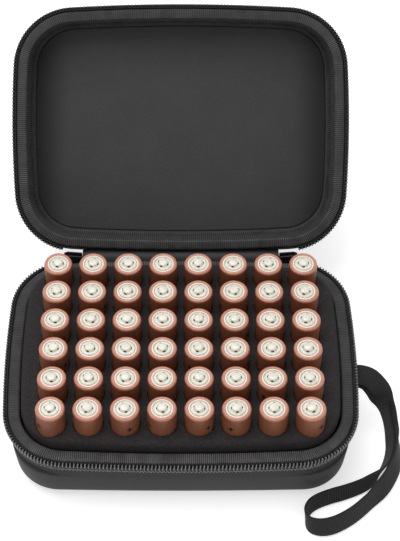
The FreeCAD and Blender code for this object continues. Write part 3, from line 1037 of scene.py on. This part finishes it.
def foil_finish(name, stops):
    """Printed metal foil under fine drawn lines. Its colour changes with height, in painted shade low down
    and a painted highlight at the rolled rim.
    """
    metal, tree, shader = new_finish(name, 0.34, 0.25, metallic=0.15)
    axes = add_node(tree, "SeparateXYZ", {"Vector": spot_on(tree)})
    sockets = {"Value": axes.outputs["Z"], "From Min": CELL_BOTTOM, "From Max": BUTTON_TOP}
    height = add_node(tree, "MapRange", sockets).outputs[0]
    tone = add_node(tree, "ValToRGB", {"Fac": height})
    ramp = tone.color_ramp
    for index, (position, colour) in enumerate(stops):
        element = ramp.elements[index] if index < 2 else ramp.elements.new(position)
        element.position = position
        element.color = (*colour, 1)
    drawn = add_node(tree, "Mapping", {"Vector": spot_on(tree), "Scale": (900, 900, 60)}).outputs["Vector"]
    lines = add_node(tree, "TexNoise", {"Vector": drawn, "Scale": 1, "Detail": 3}).outputs["Fac"]
    sockets = {"Value": lines, "From Min": 0.3, "From Max": 0.7, "To Min": 0.88, "To Max": 1.08}
    shade = add_node(tree, "MapRange", sockets).outputs[0]
    tree.links.new(shaded(tree, tone.outputs["Color"], shade), shader.inputs["Base Color"])
    return metal


jacket_foil = foil_finish("copper_foil", FOIL_STOPS)
jacket = turned(
    "jacket",
    [
        (0.0062, CELL_BOTTOM),
        (0.0068, CELL_BOTTOM),
        (CELL_RADIUS - 0.0001, CELL_BOTTOM + 0.0005),
        (CELL_RADIUS, CELL_BOTTOM + 0.0011),
        (CELL_RADIUS, SHOULDER - 0.0018),
        (CELL_RADIUS - 0.00008, SHOULDER - 0.0009),
        (CELL_RADIUS - 0.00035, SHOULDER - 0.00035),
        (CELL_RADIUS - 0.0007, SHOULDER - 0.00008),
        (CELL_RADIUS - 0.0011, SHOULDER),
        (CELL_RADIUS - 0.0016, SHOULDER - 0.0001),
        (CELL_RADIUS - 0.0018, SHOULDER - 0.0004),
        (CELL_RADIUS - 0.0019, SHOULDER - 0.0010),
    ],
)
rows_of(jacket, "jackets", jacket_foil, "cells")

seal_white = speckled("seal_white", (0.72, 0.70, 0.62), (0.84, 0.82, 0.74), 0.45, 900)
seal = turned(
    "seal",
    [
        (CELL_RADIUS - 0.0015, SHOULDER - 0.0009),
        (CELL_RADIUS - 0.0017, SHOULDER - 0.00045),
        (CELL_RADIUS - 0.0020, SHOULDER - 0.0003),
        (CELL_RADIUS - 0.0025, SHOULDER - 0.0003),
        (CELL_RADIUS - 0.0026, SHOULDER - 0.0005),
        (CELL_RADIUS - 0.0026, GROOVE),
    ],
)
rows_of(seal, "seals", seal_white, "")

cap_plate = speckled("plated_cap", (0.62, 0.60, 0.51), (0.78, 0.76, 0.67), 0.46, 600, metallic=0.1)
cap = turned(
    "cap",
    [
        (CELL_RADIUS - 0.0026, GROOVE),
        (CELL_RADIUS - 0.0029, GROOVE),
        (CELL_RADIUS - 0.00292, SHOULDER - 0.0005),
        (CELL_RADIUS - 0.0030, SHOULDER - 0.00025),
        (0.0041, SHOULDER - 0.00025),
        (0.0040, SHOULDER - 0.0005),
        (0.0038, SHOULDER - 0.0005),
        (0.0037, SHOULDER - 0.00025),
        (0.0030, SHOULDER - 0.0002),
        (0.0027, SHOULDER + 0.0001),
        (0.0025, SHOULDER + 0.0006),
        (0.0023, SHOULDER + 0.00105),
        (0.0019, SHOULDER + 0.0013),
        (0.0010, BUTTON_TOP),
        (0.00002, BUTTON_TOP),
    ],
)
rows_of(cap, "caps", cap_plate, "terminals")

# ------------------------ Cell vents and marks
# Four dark patches round the foot of each button are painted shadow, standing for its vent holes, and a small
# black plus sign is printed on each jacket a little above the foam.
VENT_PLACE = (0.00262, 0, SHOULDER + 0.0004)
VENT_LEAN = math.radians(-12)
VENT_DEEP = 0.0005
VENT_TALL = 0.0010
VENT_WIDTHS = (0.0013, 0.0013, 0.0013, 0.0017)
MARK_HEIGHT = 0.0475
MARK_HALF_WIDTH = 0.0014
MARK_HALF_STROKE = 0.0004
MARK_HALF_STEM = 0.0005

vents = []
for side, wide in enumerate(VENT_WIDTHS):
    bpy.ops.object.select_all(action="DESELECT")
    bpy.ops.mesh.primitive_uv_sphere_add(segments=8, ring_count=5, radius=0.5)
    vent = bpy.context.object
    shape = Matrix.Rotation(side * math.pi / 2, 4, "Z") @ Matrix.Translation(VENT_PLACE)
    shape = shape @ Matrix.Rotation(VENT_LEAN, 4, "Y")
    vent.data.transform(shape @ Matrix.Diagonal((VENT_DEEP, wide, VENT_TALL, 1)))
    vents.append(vent)
pick(*vents)
bpy.ops.object.join()
vent = bpy.context.object
bpy.ops.object.shade_smooth()
# Painted shadow of the vent holes
vent_dark = speckled("vent_shadow", (0.020, 0.019, 0.017), (0.07, 0.065, 0.055), 0.8, 1200)
random.seed(7)
cap_turns = [[random.uniform(-0.5, 0.5) for _ in range(COLUMNS)] for _ in range(ROWS)]
rows_of(vent, "vents", vent_dark, "", cap_turns)

bpy.ops.object.select_all(action="DESELECT")
bpy.ops.mesh.primitive_cylinder_add(
    vertices=96, radius=CELL_RADIUS + 0.00003, depth=2 * MARK_HALF_WIDTH, end_fill_type="NOTHING"
)
mark = bpy.context.object
mark.data.transform(Matrix.Translation((0, 0, MARK_HEIGHT)))
edit_all()
for height in (MARK_HEIGHT - MARK_HALF_STROKE, MARK_HEIGHT + MARK_HALF_STROKE):
    bpy.ops.mesh.bisect(plane_co=(0, 0, height), plane_no=(0, 0, 1))
    bpy.ops.mesh.select_all(action="SELECT")
bpy.ops.object.mode_set(mode="OBJECT")


def off_the_plus(face, corners):
    """True for the parts of the printed band outside the plus sign."""
    aside = abs(face.center.x)
    in_bar = aside < MARK_HALF_WIDTH and abs(face.center.z - MARK_HEIGHT) < MARK_HALF_STROKE
    return face.center.y > 0 or not (in_bar or aside < MARK_HALF_STEM)


pick_faces(mark, off_the_plus)
bpy.ops.mesh.delete(type="FACE")
bpy.ops.object.mode_set(mode="OBJECT")
mark_ink = speckled("mark_ink", (0.008, 0.006, 0.006), (0.02, 0.015, 0.013), 0.6, 1500, 0.1)
mark_turns = [[random.uniform(-3.1, 3.1) for _ in range(COLUMNS)] for _ in range(ROWS - 1)]
# The front row stands in plain sight, so its marks' turns are listed one by one
mark_turns.append([-0.9, 3.0, 0.35, -1.0, 0.65, -0.4, 2.6, 0.75])
rows_of(mark, "marks", mark_ink, "", mark_turns)

# ------------------------ Lid tray
# The lid is pressed from the same cloth and foam as the base, but shallower and with a tighter edge. It
# stands open on the cloth hinge.
LID_HEIGHT = 0.0265
LID_ROLL = 0.008
lid_tray = place(tray("lid_tray", LID_HEIGHT, LID_ROLL), lid=True)
lid_tray.data.materials.append(shell_cloth)
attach(lid_tray, "lid")
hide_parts("lid_shell")

# ------------------------ Lid trim
# The same zip tape, coil and stitching as on the base, turned over. The grosgrain is wider and runs down the
# inside of the wall to the lining.
# The lid's grosgrain is the same tape as the base's; its darker colour is painted shade
LID_BINDING_SHADED = (0.024, 0.024, 0.025)
LID_ZIP_GAP = 0.0512
# Centre and radius of the lid's rolled edge on the inside, which the binding runs into
lid_corner = (roll_centre(LID_HEIGHT, LID_ROLL), LID_ROLL - WALL)
lid_binding = folded_binding("lid_grosgrain", full=0, into_corner=lid_corner)
lid_grosgrain = grosgrain("lid_grosgrain", LID_BINDING_SHADED, highlight_at=0.35, painted_side_tone=1.0)
lid_trim = (
    (lid_binding, lid_grosgrain, "lid_binding", "grosgrain"),
    (zip_tape("lid_tape", LID_ZIP_GAP), tape_cloth, "lid_zip_tape", "zip_tape"),
    (coil("lid_coil", 0.75), coil_plastic, "lid_zip_teeth", "zip_coil"),
    (filler_cord("lid_filler"), cord_cotton, "", "zip_tape"),
    (stitches("lid_stitches"), thread, "", "zip_tape"),
)
for piece, material, node, slot in lid_trim:
    place(piece, lid=True)
    piece.data.materials.append(material)
    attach(piece, "lid")
    if node:
        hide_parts(node)

# ------------------------ Lid panel
# Padded panel, covered in black brushed lining and glued to the lid's inside. Its edge is rounded down into a
# narrow gap beside the wall.
LINING_BLACK = (0.038, 0.038, 0.039)
PANEL_IN = 0.0078
PANEL_THICK = 0.0010
PANEL_BACK = WALL - LID_HEIGHT + LAYER
# How far aside the painted shade starts and is darkest, how dark it is there, and the curve between
LINING_PAINTED_SHADE = (0.058, 0.077, 0.35, "SMOOTHSTEP")
# Painted shade darkens the lining towards its left and right edges, where the lid's walls shade it
lining_cloth = moulded_cloth("lining_cloth", LINING_BLACK, painted_sides=LINING_PAINTED_SHADE)
panel = rim_plate("lining_panel", -PANEL_IN, PANEL_BACK, PANEL_BACK + PANEL_THICK)
soften(panel, 0.0008, 5, 50)
bpy.ops.object.shade_smooth_by_angle(angle=math.radians(40))
place(panel, lid=True)
panel.data.materials.append(lining_cloth)
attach(panel, "lid")
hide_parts("lid_panel")

# ------------------------ Cloth hinge
# One strip of black ribbed fabric, sewn flat to the back of the base and of the lid. It is bent along the
# line between them, in its shape with the lid standing open.
HINGE = (HINGE_BACK, RIM_HEIGHT)
HINGE_LENGTH = 0.1048
HINGE_WIDTH = 0.0295
HINGE_THICK = 0.0007
HINGE_BLACK = (0.050, 0.050, 0.052)
# The leaf sewn to the base, from its lower edge up to the line: places behind the middle, and heights
BASE_LEAF = [(0.0630, 0.022), (0.0633, 0.0265), (0.0641, 0.031), (0.0653, 0.0338), HINGE]
strip = list(BASE_LEAF)
for y, z in reversed(BASE_LEAF[:-1]):
    out = y - HINGE[0]
    up = HINGE[1] - z
    lid_y = HINGE[0] + out * math.cos(LID_SWING) + up * math.sin(LID_SWING)
    lid_z = HINGE[1] + up * math.cos(LID_SWING) - out * math.sin(LID_SWING)
    strip.append((lid_y, lid_z))
bpy.ops.object.select_all(action="DESELECT")
bpy.ops.mesh.primitive_grid_add(x_subdivisions=26, y_subdivisions=len(strip) - 1, size=1)
hinge_cloth = bpy.context.object
hinge_cloth.name = "hinge_cloth"
rows = sorted({round(vertex.co.y, 5) for vertex in hinge_cloth.data.vertices})
for vertex in hinge_cloth.data.vertices:
    y, z = strip[rows.index(round(vertex.co.y, 5))]
    vertex.co = (vertex.co.x * HINGE_LENGTH, y, z)
thicken(hinge_cloth, HINGE_THICK)
finer = hinge_cloth.modifiers.new("finer", "SUBSURF")
finer.levels = 2
finer.render_levels = 2
bpy.ops.object.modifier_apply(modifier="finer")
bpy.ops.object.shade_smooth_by_angle(angle=math.radians(50))
hinge_cloth.data.materials.append(zip_cloth("hinge_rib", HINGE_BLACK, HINGE_LENGTH, HINGE_WIDTH))
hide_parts("hinge_strip")
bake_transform(hinge_cloth)

# ------------------------ Sliders and pulls
# Die-cast zinc sliders at the two ends of the zip, painted black, with a pull tab hanging on the bail of
# each. Their shapes are the CAD nodes' own.
painted_zinc = speckled("painted_zinc", (0.016, 0.016, 0.017), (0.030, 0.030, 0.032), 0.38, 700, metallic=0.6)
for name in ("slider_left", "slider_right", "pull_tab_left", "pull_tab_right"):
    piece = bpy.data.objects[name]
    piece.data.materials.clear()
    piece.data.materials.append(painted_zinc)

# ------------------------ Strap stack
# The strap's two ends, folded together and stitched to the zip tape. A groove along the outer side shows
# where one fold lies on the other.
STACK_PLACE = (0.08695, -0.006, 0.02775)
STACK_SIZE = (0.0030, 0.010, 0.0074, 1)
STACK_GROOVE = 0.0006
bpy.ops.object.select_all(action="DESELECT")
bpy.ops.mesh.primitive_cube_add(size=1)
stack = bpy.context.object
stack.name = "strap_ends"
stack.data.transform(Matrix.Translation(STACK_PLACE) @ Matrix.Diagonal(STACK_SIZE))
edit_all()
bpy.ops.mesh.bisect(plane_co=STACK_PLACE, plane_no=(0, 0, 1))
bpy.ops.object.mode_set(mode="OBJECT")
for vertex in stack.data.vertices:
    if abs(vertex.co.z - STACK_PLACE[2]) < 0.0001 and vertex.co.x > STACK_PLACE[0]:
        vertex.co.x -= STACK_GROOVE
soften(stack, 0.0005, 3, 20)
bpy.ops.object.shade_smooth_by_angle(angle=math.radians(40))
stack_webbing = speckled("stack_webbing", (0.012, 0.012, 0.013), (0.032, 0.032, 0.034), 0.8, 2200)
stack.data.materials.append(stack_webbing)
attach(stack, "base")
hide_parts("strap_stack")
